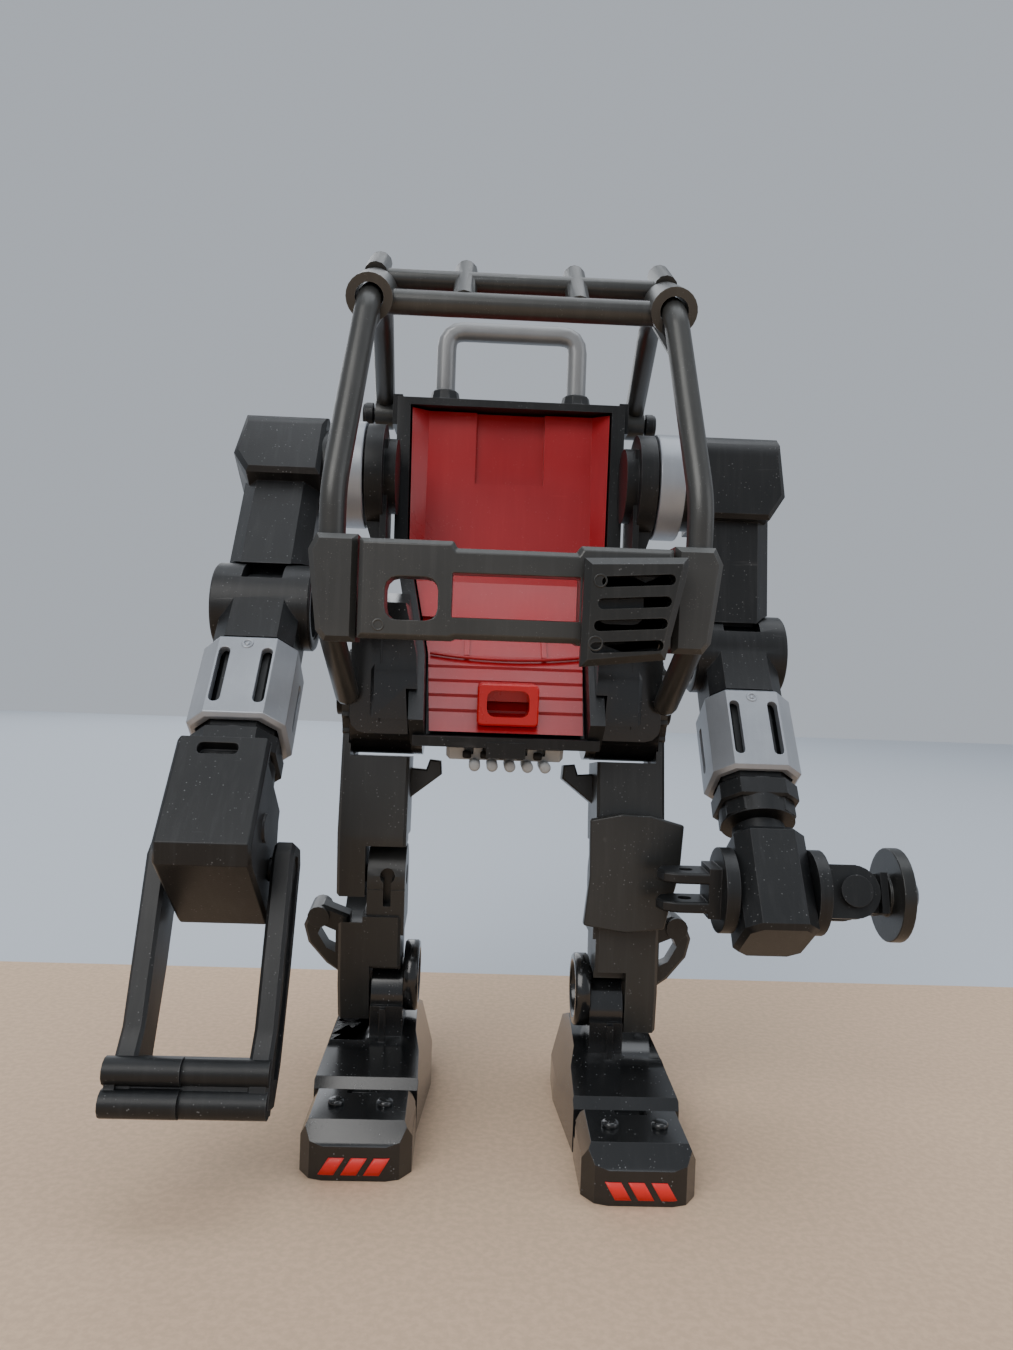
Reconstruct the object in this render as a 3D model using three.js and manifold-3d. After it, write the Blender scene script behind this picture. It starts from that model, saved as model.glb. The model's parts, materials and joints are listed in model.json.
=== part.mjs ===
// Toy walking robot with an open cockpit, a gripper hand, a tool hand and a lift-up roll cage.
// Millimetres and degrees. The robot faces -Y, its left side is +X, and +Z is up from the floor.
import * as THREE from "three";
import { mergeVertices } from "three/addons/utils/BufferGeometryUtils.js";
import Module from "manifold-3d";

const wasm = await Module();
wasm.setup();

// ---- driving dimensions ----

const gap = 0.35; // air between neighbouring pieces
const tubeRadius = 2.0; // cage and handle tubes
const pinRadius = 1.5; // plain pins through the limb joints
const pinHole = pinRadius + 0.3;

// Side view of the seat surface, from its top edge to its front lip, as (y, z).
const seatLine = [
  [8.4, 128],
  [4.2, 98],
  [1.2, 90.5],
  [-4.5, 83.5],
  [-12, 77],
  [-30.4, 63.6],
];
// Front view of the seat's half width, as (half width, z).
const seatHalfWidth = [
  [19.5, 125.4],
  [19, 98],
  [15.2, 82],
  [14, 77],
  [12.7, 64.4],
];
const seatDepth = 2; // insert's skin
const frameDepth = 4.4; // back of the seat frame behind the seat surface
const frameWall = 2.6;
const wingHeight = 2.6; // how far the insert's outer edges stand forward

const cage = {
  hingeY: 16.3,
  hingeZ: 126,
  pillarFoot: [27.2, -45.6, 92],
  pillarBend: [27.2, -46, 101],
  clipMouth: [24.3, -34.4, 132.8],
  clipBack: [24.3, -21.5, 138.6],
  rearFoot: [25.9, 16.3, 128.4],
  lowerTop: [27.4, -42.5, 80],
  lowerEnd: [26.4, -28.6, 70.1],
  clipRadius: 3.75,
};

const bumper = { halfWidth: 22.7, front: -50.6, back: -45.2, top: 93.4, bottom: 79, opening: 9.2 };

const shoulder = { y: -3.5, z: 110, armX: 41.9, flangeIn: 23.4, flangeOut: 26.6, radius: 9.6 };
const arm = { upper: 31.4, elbowRadius: 7.3 };
// Forward swing at the shoulder and bend at the elbow. The elbow's sideways step differs a little.
const armPose = {
  right: { swing: 34, bend: 6, step: -0.6 },
  left: { swing: 7, bend: 29, step: 0.9 },
};
const jawSet = 21; // how far the jaw hangs back from the forearm's line

const leg = { x: 21.9, hipY: -15.8, hipZ: 68.7, thigh: 30.6, shin: 21.4, ankle: 17 };
const legPose = {
  right: { swing: 5, shinSide: 1 },
  left: { swing: 7.5, shinSide: -1 },
};

// ---- materials ----

function plastic(colour, roughness, metalness = 0) {
  return new THREE.MeshStandardMaterial({ color: colour, roughness, metalness });
}
const black = plastic(0x1b1c1d, 0.45);
const glossBlack = plastic(0x131416, 0.2);
const gunmetal = plastic(0x3b3c3c, 0.38, 0.25);
const darkGrey = plastic(0x2a2b2b, 0.42, 0.1);
const handleGrey = plastic(0x5c5f61, 0.4, 0.2);
const silver = plastic(0x9aa3aa, 0.4, 0.3);
const red = plastic(0xb5121b, 0.35);
const lightGrey = plastic(0xb9bcbd, 0.45);
const steel = plastic(0x8b8d90, 0.35, 0.9);

// ---- helpers ----

function solid(geometry) {
  geometry.deleteAttribute("normal");
  geometry.deleteAttribute("uv");
  const merged = mergeVertices(geometry, 1e-4);
  return new wasm.Manifold(
    new wasm.Mesh({
      numProp: 3,
      vertProperties: merged.attributes.position.array,
      triVerts: new Uint32Array(merged.index.array),
    }),
  );
}

function piece(name, body, material) {
  const made = body.getMesh();
  const geometry = new THREE.BufferGeometry();
  geometry.setAttribute("position", new THREE.BufferAttribute(new Float32Array(made.vertProperties), 3));
  geometry.setIndex(new THREE.BufferAttribute(new Uint32Array(made.triVerts), 1));
  const flat = geometry.toNonIndexed();
  flat.computeVertexNormals();
  const mesh = new THREE.Mesh(flat, material);
  mesh.name = name;
  return mesh;
}

function union(...bodies) {
  return bodies.reduce((all, body) => all.add(body));
}

function cut(body, ...tools) {
  return tools.reduce((rest, tool) => rest.subtract(tool), body);
}

function box(width, depth, height, x = 0, y = 0, z = 0) {
  return solid(new THREE.BoxGeometry(width, depth, height).translate(x, y, z));
}

function rod(radius, length, along, x = 0, y = 0, z = 0, sides = 20) {
  const geometry = new THREE.CylinderGeometry(radius, radius, length, sides);
  if (along === "x") geometry.rotateZ(-Math.PI / 2);
  if (along === "z") geometry.rotateX(Math.PI / 2);
  return solid(geometry.translate(x, y, z));
}

function cone(radiusLow, radiusHigh, length, along, x = 0, y = 0, z = 0, sides = 20) {
  const geometry = new THREE.CylinderGeometry(radiusHigh, radiusLow, length, sides);
  if (along === "x") geometry.rotateZ(-Math.PI / 2);
  if (along === "z") geometry.rotateX(Math.PI / 2);
  return solid(geometry.translate(x, y, z));
}

function ball(radius, x, y, z) {
  return solid(new THREE.SphereGeometry(radius, 12, 6).translate(x, y, z));
}

// A flat outline given thickness across its plane, centred on it. The plane is "xy", "xz" or "yz".
function slab(points, thickness, plane, bevel = 0) {
  const shape = new THREE.Shape(points.map(([u, v]) => new THREE.Vector2(u, v)));
  const geometry = new THREE.ExtrudeGeometry(shape, {
    depth: thickness - 2 * bevel,
    bevelEnabled: bevel > 0,
    bevelThickness: bevel,
    bevelSize: bevel,
    bevelOffset: -bevel,
    bevelSegments: 1,
    curveSegments: 6,
  });
  geometry.translate(0, 0, bevel - thickness / 2);
  const [u, v, w] = {
    xy: [[1, 0, 0], [0, 1, 0], [0, 0, 1]],
    xz: [[1, 0, 0], [0, 0, 1], [0, -1, 0]],
    yz: [[0, 1, 0], [0, 0, 1], [1, 0, 0]],
  }[plane].map((axis) => new THREE.Vector3(...axis));
  geometry.applyMatrix4(new THREE.Matrix4().makeBasis(u, v, w));
  return solid(geometry);
}

function moved(body, x, y, z) {
  return body.translate([x, y, z]);
}

// A rectangle with rounded corners, as outline points.
function roundRect(width, height, radius, cx = 0, cy = 0, steps = 3) {
  const points = [];
  const corners = [[1, 1, 0], [-1, 1, 90], [-1, -1, 180], [1, -1, 270]];
  for (const [sx, sy, start] of corners) {
    for (let i = 0; i <= steps; i++) {
      const a = ((start + (90 * i) / steps) * Math.PI) / 180;
      points.push([
        cx + sx * (width / 2 - radius) + radius * Math.cos(a),
        cy + sy * (height / 2 - radius) + radius * Math.sin(a),
      ]);
    }
  }
  return points;
}

// A rectangle with its corners cut at 45 degrees.
function octagon(width, depth, chamfer) {
  const w = width / 2;
  const d = depth / 2;
  return [
    [-w, -d + chamfer], [-w + chamfer, -d], [w - chamfer, -d], [w, -d + chamfer],
    [w, d - chamfer], [w - chamfer, d], [-w + chamfer, d], [-w, d - chamfer],
  ];
}

// A path of straight runs and rounded bends, sampled only where it turns.
class BentPath extends THREE.Curve {
  constructor(points, bend) {
    super();
    const stops = points.map((p) => new THREE.Vector3(...p));
    this.samples = [stops[0]];
    for (let i = 1; i < stops.length - 1; i++) {
      const start = stops[i - 1].clone().sub(stops[i]).setLength(bend).add(stops[i]);
      const end = stops[i + 1].clone().sub(stops[i]).setLength(bend).add(stops[i]);
      this.samples.push(...new THREE.QuadraticBezierCurve3(start, stops[i], end).getPoints(4));
    }
    this.samples.push(stops[stops.length - 1]);
    this.steps = this.samples.length - 1;
  }
  getPointAt(share) {
    return this.samples[Math.round(share * this.steps)].clone();
  }
  getTangentAt(share) {
    const i = Math.round(share * this.steps);
    const before = this.samples[Math.max(i - 1, 0)];
    const here = this.samples[i];
    const after = this.samples[Math.min(i + 1, this.steps)];
    const into = here.clone().sub(before).normalize();
    return after.clone().sub(here).normalize().add(into).normalize();
  }
}

// A round tube through the given points, with the corners rounded by the bend length.
function tube(points, radius, bend = 4, sides = 12) {
  const path = new BentPath(points, bend);
  const circle = new THREE.Shape().absarc(0, 0, radius, 0, 2 * Math.PI);
  const options = { extrudePath: path, steps: path.steps, curveSegments: sides / 2 };
  return solid(new THREE.ExtrudeGeometry(circle, options));
}

// The seat line moved forward by a distance (negative goes behind the seat), as (y, z) points.
function offsetLine(line, distance) {
  return line.map((point, i) => {
    const before = line[Math.max(i - 1, 0)];
    const after = line[Math.min(i + 1, line.length - 1)];
    const dy = after[0] - before[0];
    const dz = after[1] - before[1];
    const length = Math.hypot(dy, dz);
    return [point[0] + (dz / length) * distance, point[1] - (dy / length) * distance];
  });
}

// A layer that follows the seat line between two distances in front of it, cut to a width.
function seatLayer(front, back, width, x = 0) {
  const outline = [...offsetLine(seatLine, front), ...offsetLine(seatLine, back).reverse()];
  return moved(slab(outline, width, "yz"), x, 0, 0);
}

// The seat's front outline, grown sideways and upwards, extruded through the robot's depth.
function seatOutline(side, top, bottom) {
  const half = seatHalfWidth.map(([w, z]) => [w + side, z]);
  half[0] = [half[0][0], half[0][1] + top];
  half[half.length - 1][1] -= bottom;
  return slab([...half, ...half.map(([w, z]) => [-w, z]).reverse()], 120, "xz");
}

function mirrored(body, side) {
  return side < 0 ? body.mirror([1, 0, 0]) : body;
}

function joint(name, parent, x, y, z, swing = 0) {
  const group = new THREE.Group();
  group.name = name;
  group.position.set(x, y, z);
  group.rotation.x = (-swing * Math.PI) / 180;
  parent.add(group);
  return group;
}

// ---- torso ----

// Moves every point of the inner end face of a wing back onto the seat surface.
function seatWing(side) {
  const width = 3.2;
  const near = [...offsetLine(seatLine, wingHeight), ...offsetLine(seatLine, -1).reverse()];
  const flat = [...offsetLine(seatLine, 0.05), ...offsetLine(seatLine, -1).reverse()];
  const body = slab(near, width, "yz").warp((v) => {
    if (v[0] > 0) return;
    const i = near.findIndex(([y, z]) => Math.hypot(y - v[1], z - v[2]) < 1e-3);
    if (i >= 0) [v[1], v[2]] = flat[i];
  });
  return mirrored(moved(body, seatHalfWidth[0][0] - width / 2, 0, 0), side);
}

function seatInsert() {
  const full = seatLayer(0, -seatDepth, 60);
  const recess = seatLayer(1, -1.2, 13.6).intersect(box(14, 60, 18, 0, 5, 120));
  const belly = seatLayer(0.9, -0.5, 40).intersect(box(40, 40, 12, 0, 0, 90));
  const ribs = [-7, 7].map((x) => seatLayer(0.7, -0.5, 0.9, x).intersect(box(40, 60, 16, 0, 0, 85)));
  let body = union(full, seatWing(1), seatWing(-1), belly, ...ribs);
  const slope = offsetLine(seatLine, 0).slice(-2);
  for (const share of [0.16, 0.34, 0.52, 0.7]) {
    const y = slope[0][0] + (slope[1][0] - slope[0][0]) * share;
    const z = slope[0][1] + (slope[1][1] - slope[0][1]) * share;
    body = body.subtract(rod(0.45, 40, "x", 0, y, z, 6));
  }
  return cut(body, recess).intersect(seatOutline(0, 0, 0));
}

function seatSocket() {
  const outer = slab(roundRect(10.2, 7, 0.8, 0.2, 69), 10, "xz", 0.3);
  const pocket = slab(roundRect(7, 4.4, 1.3, 0.2, 69.2), 6, "xz");
  const body = cut(moved(outer, 0, -24, 0), moved(pocket, 0, -26.2, 0));
  return cut(body, seatLayer(gap, -30, 60));
}

function seatFrame() {
  const shell = seatLayer(wingHeight + 0.8, -frameDepth, 60).intersect(seatOutline(frameWall + gap, 1.9, 2.3));
  const tray = seatLayer(40, -seatDepth - gap, 60).intersect(seatOutline(gap, 0.4, 4));
  const lip = box(30.6, 4.2, 1.7, 0, -29.2, 62.9);
  const tab = box(6.4, 1.8, 2.6, 0, -30.6, 61.7);
  const ears = [-1, 1].map((side) =>
    union(
      box(1.9, 10, 6, side * 22.6, 12.6, 125.4),
      rod(3, 1.9, "x", side * 22.6, cage.hingeY, cage.hingeZ),
    ),
  );
  const bores = rod(pinHole, 60, "x", 0, cage.hingeY, cage.hingeZ);
  return cut(union(cut(shell, tray), lip, tab, ...ears), bores);
}

function backShell() {
  const profile = [
    [13.4, 127.2], [21.2, 127.2], [22.6, 125], [22.6, 96], [18.6, 84.6], [8, 84.6],
  ];
  const body = slab(profile, 39, "yz", 1);
  const collars = [-1, 1].map((side) => cone(3.4, 2.7, 3.6, "z", side * 13.6, 16.6, 128.9, 8));
  const ribs = [-12, -6, 0, 6, 12].map((x) => box(1.6, 1.6, 18, x, 22.9, 108));
  const bores = [-1, 1].map((side) => rod(tubeRadius + 0.3, 9, "z", side * 13.6, 16.4, 129));
  const screws = screwPlaces.map(([x, z]) => rod(2.3, 3, "y", x, 22.6, z));
  const keepOut = seatLayer(60, -frameDepth - gap, 60);
  const hinge = rod(4.6, 60, "x", 0, cage.hingeY, cage.hingeZ).subtract(box(38.2, 20, 20, 0, cage.hingeY, 126));
  return cut(union(body, ...collars, ...ribs), ...bores, ...screws, keepOut, hinge);
}

const screwPlaces = [[-15.5, 122], [15.5, 122], [-15.5, 92], [15.5, 92]];

function backScrew([x, z]) {
  const head = rod(2, 1.2, "y", x, 21.8, z);
  const slots = [box(2.6, 0.8, 0.6, x, 22.3, z), box(0.6, 0.8, 2.6, x, 22.3, z)];
  return cut(head, ...slots);
}

function underbody() {
  const wide = slab(
    [[-26.5, 64.6], [-26.5, 63.2], [-12, 63], [2, 63], [13, 70], [18, 84.2], [-26, 84.2]],
    25.4, "yz", 0.5,
  );
  const narrow = slab([[-27.8, 62], [-26.6, 59.6], [-12, 58.8], [2, 58.8], [10, 66], [-20, 66]], 19.6, "yz", 0.6);
  const holes = [-6, -3, 0, 3, 6].map((x) => box(1.5, 4, 1.3, x, -27.2, 61.2));
  const keepOut = seatLayer(60, -frameDepth - gap, 60).intersect(box(60, 80, 60, 0, 0, 91.75));
  const belowLip = box(40, 8, 6, 0, -30, 64.65);
  const tabRoom = box(7.2, 3, 4, 0, -30.4, 62);
  return cut(union(wide, narrow), ...holes, keepOut, belowLip, tabRoom);
}

function grabHandle() {
  const x = 13.6;
  const y = 16.4;
  return tube([[-x, y, 126], [-x, y + 0.2, 144], [x, y + 0.2, 144], [x, y, 126]], tubeRadius, 3.6, 14);
}

function hipCover() {
  const barrel = rod(9.6, 12.2, "x", 20.2, leg.hipY, leg.hipZ, 32);
  const tower = slab(
    [[-26.6, 66], [-26.6, 74], [-20, 84], [-6, 88], [2, 84], [2, 70], [-9, 66]], 8.4, "yz", 0.6,
  );
  const cheek = moved(tower, 18.6, 0, 0);
  const front = box(12.1, 8, 22, 20.15, leg.hipY - 6, 74.4).intersect(
    slab(roundRect(12.1, 22, 2.6, 20.15, 74.4), 80, "xz"),
  );
  const keepOut = seatLayer(wingHeight + 1.2, -frameDepth - gap, 60).intersect(
    seatOutline(frameWall + 2 * gap, 3, 6),
  );
  const seatRoom = seatLayer(60, 0, 60).intersect(seatOutline(1.4, 3, 6));
  return cut(
    union(barrel, cheek, front), keepOut, seatRoom,
    box(27, 60, 60, 0, -10, 80),
    rod(pinHole + 0.7, 40, "x", 20, leg.hipY, leg.hipZ),
    seatLayer(-frameDepth - gap + 0.01, -60, 26.2),
  );
}

function shoulderBracket() {
  const { y, z, flangeIn, flangeOut, radius } = shoulder;
  const x = (flangeIn + flangeOut) / 2;
  const flange = union(
    rod(radius, flangeOut - flangeIn, "x", x, y, z, 30),
    rod(radius - 2.6, 2.4, "x", flangeIn - 1, y, z, 24),
  );
  const web = moved(slab([[22.7, 109], [26.5, 106], [26.5, 100.5], [25, 96], [22.7, 90.5]], 7, "xz"), 0, y, 0);
  const root = box(1.2, 14, 20, 23.3, y + 1.5, 106);
  const axle = rod(3.2, 17, "x", flangeOut + 8.4, y, z);
  return cut(union(flange, web, root, axle), seatLayer(wingHeight + 1.2, -frameDepth - gap, 45.9));
}

function shoulderRing() {
  const { flangeOut, radius } = shoulder;
  const width = 4.6;
  const ring = rod(radius + 0.3, width, "x", flangeOut + gap + width / 2 - shoulder.armX, 0, 0, 32);
  return cut(ring, rod(3.55, 20, "x", flangeOut - shoulder.armX, 0, 0));
}

// ---- cage ----

function cageSide() {
  const blockOutline = [
    [bumper.halfWidth + gap, 78.4], [27.6, 78.4], [28.8, 80], [30.2, 91.6], [29, 94], [bumper.halfWidth + gap, 94],
  ];
  const block = moved(slab(blockOutline, 8.4, "xz", 0.8), 0, -45.2, 0);
  const pillar = tube([cage.pillarFoot, cage.pillarBend, cage.clipMouth, cage.clipBack], tubeRadius, 3.4, 14);
  const lower = union(tube([cage.lowerTop, cage.lowerEnd], tubeRadius), ball(tubeRadius, ...cage.lowerEnd));
  const brace = tube(
    [[24.4, -19.4, 136], [27.3, -25, 128.4], [28.1, -40.4, 106], [27.4, -46, 99.5]], 1.5, 2.6, 10,
  );
  const rear = tube([[24.3, -18.8, 139.6], [24.6, -9, 139.4], cage.rearFoot], tubeRadius, 4);
  const link = tube([cage.clipBack, [24.3, -16.6, 139.9]], tubeRadius);
  const barrel = union(
    rod(2.9, 3.6, "x", 25.9, cage.hingeY, cage.hingeZ),
    rod(2.1, 3.4, "z", 25.9, cage.hingeY, cage.hingeZ + 2.6),
  );
  const pinBore = rod(pinHole, 10, "x", 25.9, cage.hingeY, cage.hingeZ);
  return cut(union(block, pillar, lower, brace, rear, link, barrel), pinBore);
}

function roofClip(side) {
  const mouth = new THREE.Vector3(...cage.clipMouth);
  const back = new THREE.Vector3(...cage.clipBack);
  const axis = back.clone().sub(mouth).normalize();
  const from = mouth.clone().addScaledVector(axis, 0.6).toArray();
  const to = back.clone().addScaledVector(axis, -3.6).toArray();
  const through = [mouth.clone().addScaledVector(axis, -6), back.clone().addScaledVector(axis, 6)];
  const shell = tube([from, to], cage.clipRadius, 1, 24);
  const bore = tube(through.map((p) => p.toArray()), tubeRadius + 0.3, 1, 20);
  const angle = (Math.atan2(axis.z, axis.y) * 180) / Math.PI;
  const slot = moved(box(3.4, 40, 6, 0, 0, -3).rotate([angle, 0, 0]), mouth.x, mouth.y, mouth.z);
  return mirrored(cut(shell, bore, slot), side);
}

function roofRack() {
  const frontBar = rod(tubeRadius, 2 * (cage.clipMouth[0] - tubeRadius - 0.6), "x", 0, -30, 133.8);
  const rearBar = rod(1.7, 46, "x", 0, -22.4, 140.2);
  const rungs = [-9.4, 9.4].map((x) =>
    union(tube([[x, -29.6, 134.4], [x, -17.4, 143.8]], tubeRadius), ball(tubeRadius, x, -17.4, 143.8)),
  );
  const tips = [-1, 1].map((side) =>
    union(
      tube([[side * 24.3, -25, 140], [side * 24.3, -17.4, 144.6]], tubeRadius),
      ball(tubeRadius, side * 24.3, -17.4, 144.6),
    ),
  );
  const room = [-1, 1].map((side) =>
    mirrored(
      union(
        tube([cage.clipMouth, cage.clipBack], tubeRadius + 0.3),
        tube([cage.clipBack, [24.3, -14, 141]], tubeRadius + 0.35),
        rod(tubeRadius + 0.35, 8, "y", 24.3, -15.4, 139.4),
      ),
      side,
    ),
  );
  return cut(union(frontBar, rearBar, ...rungs, ...tips, roofClip(1), roofClip(-1)), ...room);
}

function bumperBody() {
  const { halfWidth, front, back, top, bottom, opening } = bumper;
  const outline = [
    [-halfWidth, bottom], [-halfWidth, top], [-opening, top], [-opening + 0.6, top - 1], [opening - 0.6, top - 1],
    [opening, top], [halfWidth, top], [halfWidth, bottom], [opening, bottom], [opening - 0.6, bottom + 0.3],
    [-opening + 0.6, bottom + 0.3], [-opening, bottom],
  ];
  const depth = back - front;
  const plate = moved(slab(outline, depth, "xz", 0.7), 0, (front + back) / 2, 0);
  const middle = box(2 * opening, 20, 6.4, 0, front, 85.6);
  const windows = [-1, 1].map((side) =>
    moved(slab(roundRect(7.6, 6.2, 1.8, side * 15, 84.9), 20, "xz"), 0, front, 0),
  );
  return cut(plate, middle, ...windows);
}

function grillePanel() {
  const back = bumper.front - gap;
  const face = [[9.2, 76], [9.4, 91.4], [24.1, 92], [24.1, 90.2], [21.3, 77.4]];
  const plate = moved(slab(face, 3.4, "xz", 1), 0, back - 1.7, 0);
  const slots = [0, 1, 2, 3].map((i) => {
    const z = 88.4 - 3.1 * i;
    const x = 17 - 0.45 * i;
    const slot = moved(slab(roundRect(10.4, 1.5, 0.7), 8, "xz"), 0, 0, 0);
    return moved(slot.rotate([0, -4, 0]), x, back - 4, z);
  });
  const chamfer = box(40, 3, 3, 16, 0, 0).rotate([45, 0, 0]);
  const peg = moved(slab(roundRect(6.6, 5.2, 1.4, 15, 84.9), 4, "xz"), 0, back + 1.6, 0);
  return cut(union(plate, peg), ...slots, moved(chamfer, 0, back - 4, 93.6));
}

// ---- arm, hanging straight down from its own shoulder, elbow and wrist ----

function upperArm(step) {
  const blockFace = [[-7.6, 8.8], [7, 8.8], [8.2, -3], [5.4, -7.4], [-7.6, -7.4]];
  const blockSide = roundRect(17, 30, 4.6, 0, 8.8 - 15);
  const block = slab(blockFace, 17, "xz", 0.8).intersect(slab(blockSide, 30, "yz"));
  const boss = rod(8, 2.8, "x", -8.6, 0, 0, 28);
  const shaft = slab(octagon(13.6, 12, 2.6), 22, "xy");
  const tongue = union(
    box(6, 5, 14, step, 0, -arm.upper + 9),
    rod(5.6, 6, "x", step, 0, -arm.upper, 24),
  );
  const elbowRoom = rod(arm.elbowRadius + gap, 30, "x", 0, 0, -arm.upper, 32);
  const trimmed = cut(moved(shaft, -0.4, 0.4, -16.4), elbowRoom);
  return cut(
    union(block, boss, trimmed, tongue),
    rod(3.55, 16, "x", -5.6, 0, 0),
    rod(pinHole, 30, "x", 0, 0, -arm.upper),
  );
}

function elbowPin() {
  return union(rod(pinRadius, 14, "x", 0.2, 0, 0), rod(3.2, 0.7, "x", 7.45, 0, 0));
}

function forearm() {
  const drum = rod(arm.elbowRadius, 15.8, "x", 0, 0, 0, 32);
  const core = moved(slab(octagon(11.6, 10.8, 2.4), 30, "xy"), 0, 0, -20);
  const shoulderFace = moved(slab(octagon(13, 12.8, 2.4), 10, "xy"), 0, 0.2, -6.9);
  const nub = union(
    moved(slab(octagon(13.2, 12.4, 2.8), 3.6, "xy", 0.4), 0, 0, -30.9),
    rod(6.2, 6, "z", 0, 0, -32.3, 32),
  );
  const peg = rod(3.2, 8.4, "z", 0, 0, -39);
  const slotTop = box(6.7, 28, 14, 0, 0, 7);
  const slotTurn = rod(6, 6.7, "x", 0, 0, 0, 24);
  const dish = [-1, 1].map((side) => rod(4.9, 1.6, "x", side * 7.7, 0, 0, 24));
  return cut(
    union(drum, core, shoulderFace, nub, peg),
    slotTop, slotTurn, ...dish,
    rod(pinHole, 30, "x"),
  );
}

function forearmSleeve() {
  const outer = slab(octagon(15, 14, 3), 15.8, "xy", 0.6);
  const inner = slab(octagon(12.3, 11.5, 2.6), 30, "xy");
  const slots = [-3.3, 3.3].map((x) =>
    moved(slab(roundRect(1.7, 10.6, 0.8), 6, "xz"), x, -6.8, 0),
  );
  const sideSlots = [-1, 1].map((side) => moved(slab(roundRect(1.7, 9, 0.8), 6, "yz"), side * 7.6, 1.6, 0));
  return moved(cut(outer, inner, ...slots, ...sideSlots), 0, 0, -20.2);
}

// ---- gripper hand, below the wrist on the forearm's line ----

const jawPivot = { y: 4, z: -44.5 };

function gripperCover() {
  const profile = [
    [-8.4, -33], [-8.4, -50.4], [-6.2, -52.6], [11.6, -52.6], [11.6, -46], [6.8, -38], [6.4, -36],
    [-6.6, -36], [-6.6, -33],
  ];
  const body = slab(profile, 13.4, "yz", 0.5);
  const slot = moved(slab(roundRect(5.8, 1.9, 0.7), 4, "xz"), -0.6, -8.6, -35);
  const bosses = [-1, 1].map((side) => rod(2.1, 0.6, "x", side * 6.8, -2.4, -44.4, 16));
  return cut(
    union(body, ...bosses), slot,
    rod(3.55, 12, "z", 0, 0, -40.4),
    rod(pinHole, 30, "x", 0, jawPivot.y + 2, jawPivot.z - 2),
  );
}

function jawPin() {
  return rod(pinRadius, 20.4, "x");
}

function gripperJaw() {
  const armOutline = [
    [-3.6, 1.6], [-2, 3.8], [2.6, 3.8], [4.2, 1.4], [3.4, -14], [1.6, -27], [-1, -32.6], [-6.4, -32.6],
    [-6.4, -26.6], [-4.4, -22],
  ];
  const arms = [-1, 1].map((side) => {
    const plate = moved(slab(armOutline, 3.1, "yz", 0.5), side * 8.95, 0, 0);
    const channel = armOutline.map(([y, z]) => [y * 0.5 - 0.3, z * 0.84 - 1.2]);
    return cut(plate, moved(slab(channel, 2, "yz"), side * 11, 0, 0));
  });
  const flare = box(1.4, 6, 7, -10.3, -4.1, -29.6);
  const bar = box(20, 5.4, 7.4, 0, -3.4, -29.6);
  const ridges = [-27.6, -31.6].map((z) =>
    union(
      rod(1.9, 10.2, "x", -6.2, -6.2, z, 12),
      rod(1.9, 11.6, "x", 4.6, -5.4, z, 12),
    ),
  );
  return cut(union(...arms, flare, bar, ...ridges), rod(pinHole, 40, "x"));
}

// ---- tool hand, below the wrist on the forearm's line ----

const tool = { z: -47, foldX: 12.9 };

function toolHead() {
  const body = moved(slab(octagon(11.6, 13, 2.2), 17.4, "xy", 0.8), 0.2, 0, -47);
  const collar = rod(4.4, 2.4, "z", 0, 0, -37.2);
  return cut(union(body, collar), rod(3.55, 10, "z", 0, 0, -38.6), rod(3.3, 30, "x", 0, 0, tool.z));
}

function toolFork() {
  const disc = rod(6.8, 2.2, "x", -7.1, 0, 0, 28);
  const root = box(2.4, 6.4, 8, -9, 0, 0);
  const outline = [[-9, -3.2], [-9, 3.2], [-15, 3.2], [-17.2, 2.2], [-18, 0], [-17.2, -2.2], [-15, -3.2]];
  const prongs = [2.3, -2.3].map((z) => moved(slab(outline, 1.8, "xy", 0.3), 0, 0, z));
  return cut(union(disc, root, ...prongs), rod(1.1, 20, "z", -13.4, 0, 0, 16));
}

function toolSpindle() {
  const shaft = rod(3, 12.6, "x", 0.7, 0, 0);
  const disc = rod(6.8, 2, "x", 7.4, 0, 0, 28);
  const cheeks = [-1, 1].map((side) =>
    union(
      box(6.4, 1.8, 8.4, 10.2, side * 2.75, 0),
      rod(4.2, 1.8, "y", tool.foldX, side * 2.75, 0, 24),
    ),
  );
  return cut(union(shaft, disc, ...cheeks), rod(pinHole, 20, "y", tool.foldX, 0, 0));
}

function toolBracket() {
  const tongue = union(box(4.8, 2.9, 6.2, 2.2, 0, 0), rod(3.1, 2.9, "y", 0, 0, 0, 24));
  const end = box(1.2, 6.2, 6.4, 5.1, 0, 0);
  const stub = rod(1.6, 5.6, "x", 7.9, 0, 0, 16);
  return cut(union(tongue, end, stub), rod(pinHole, 20, "y"));
}

function bracketPin() {
  return union(rod(pinRadius, 8.4, "y"), cone(2.6, 2.1, 1, "y", 0, -4.4, 0), rod(2.3, 0.8, "y", 0, 4.3, 0));
}

function rollerFlange() {
  const disc = rod(7.5, 2, "x", 7.4, 0, 0, 32);
  const hub = rod(3.4, 0.6, "x", 6.2, 0, 0);
  return cut(union(disc, hub), rod(1.9, 20, "x", 10, 0, 0, 16));
}

function rollerCap() {
  return cut(
    union(rod(3.3, 1.5, "x", 9.5, 0, 0), cone(3.3, 2.2, 0.7, "x", 10.6, 0, 0)),
    rod(1.9, 2.4, "x", 9.6, 0, 0, 16),
  );
}

// ---- leg, straight down from its own hip, knee and ankle ----

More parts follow.
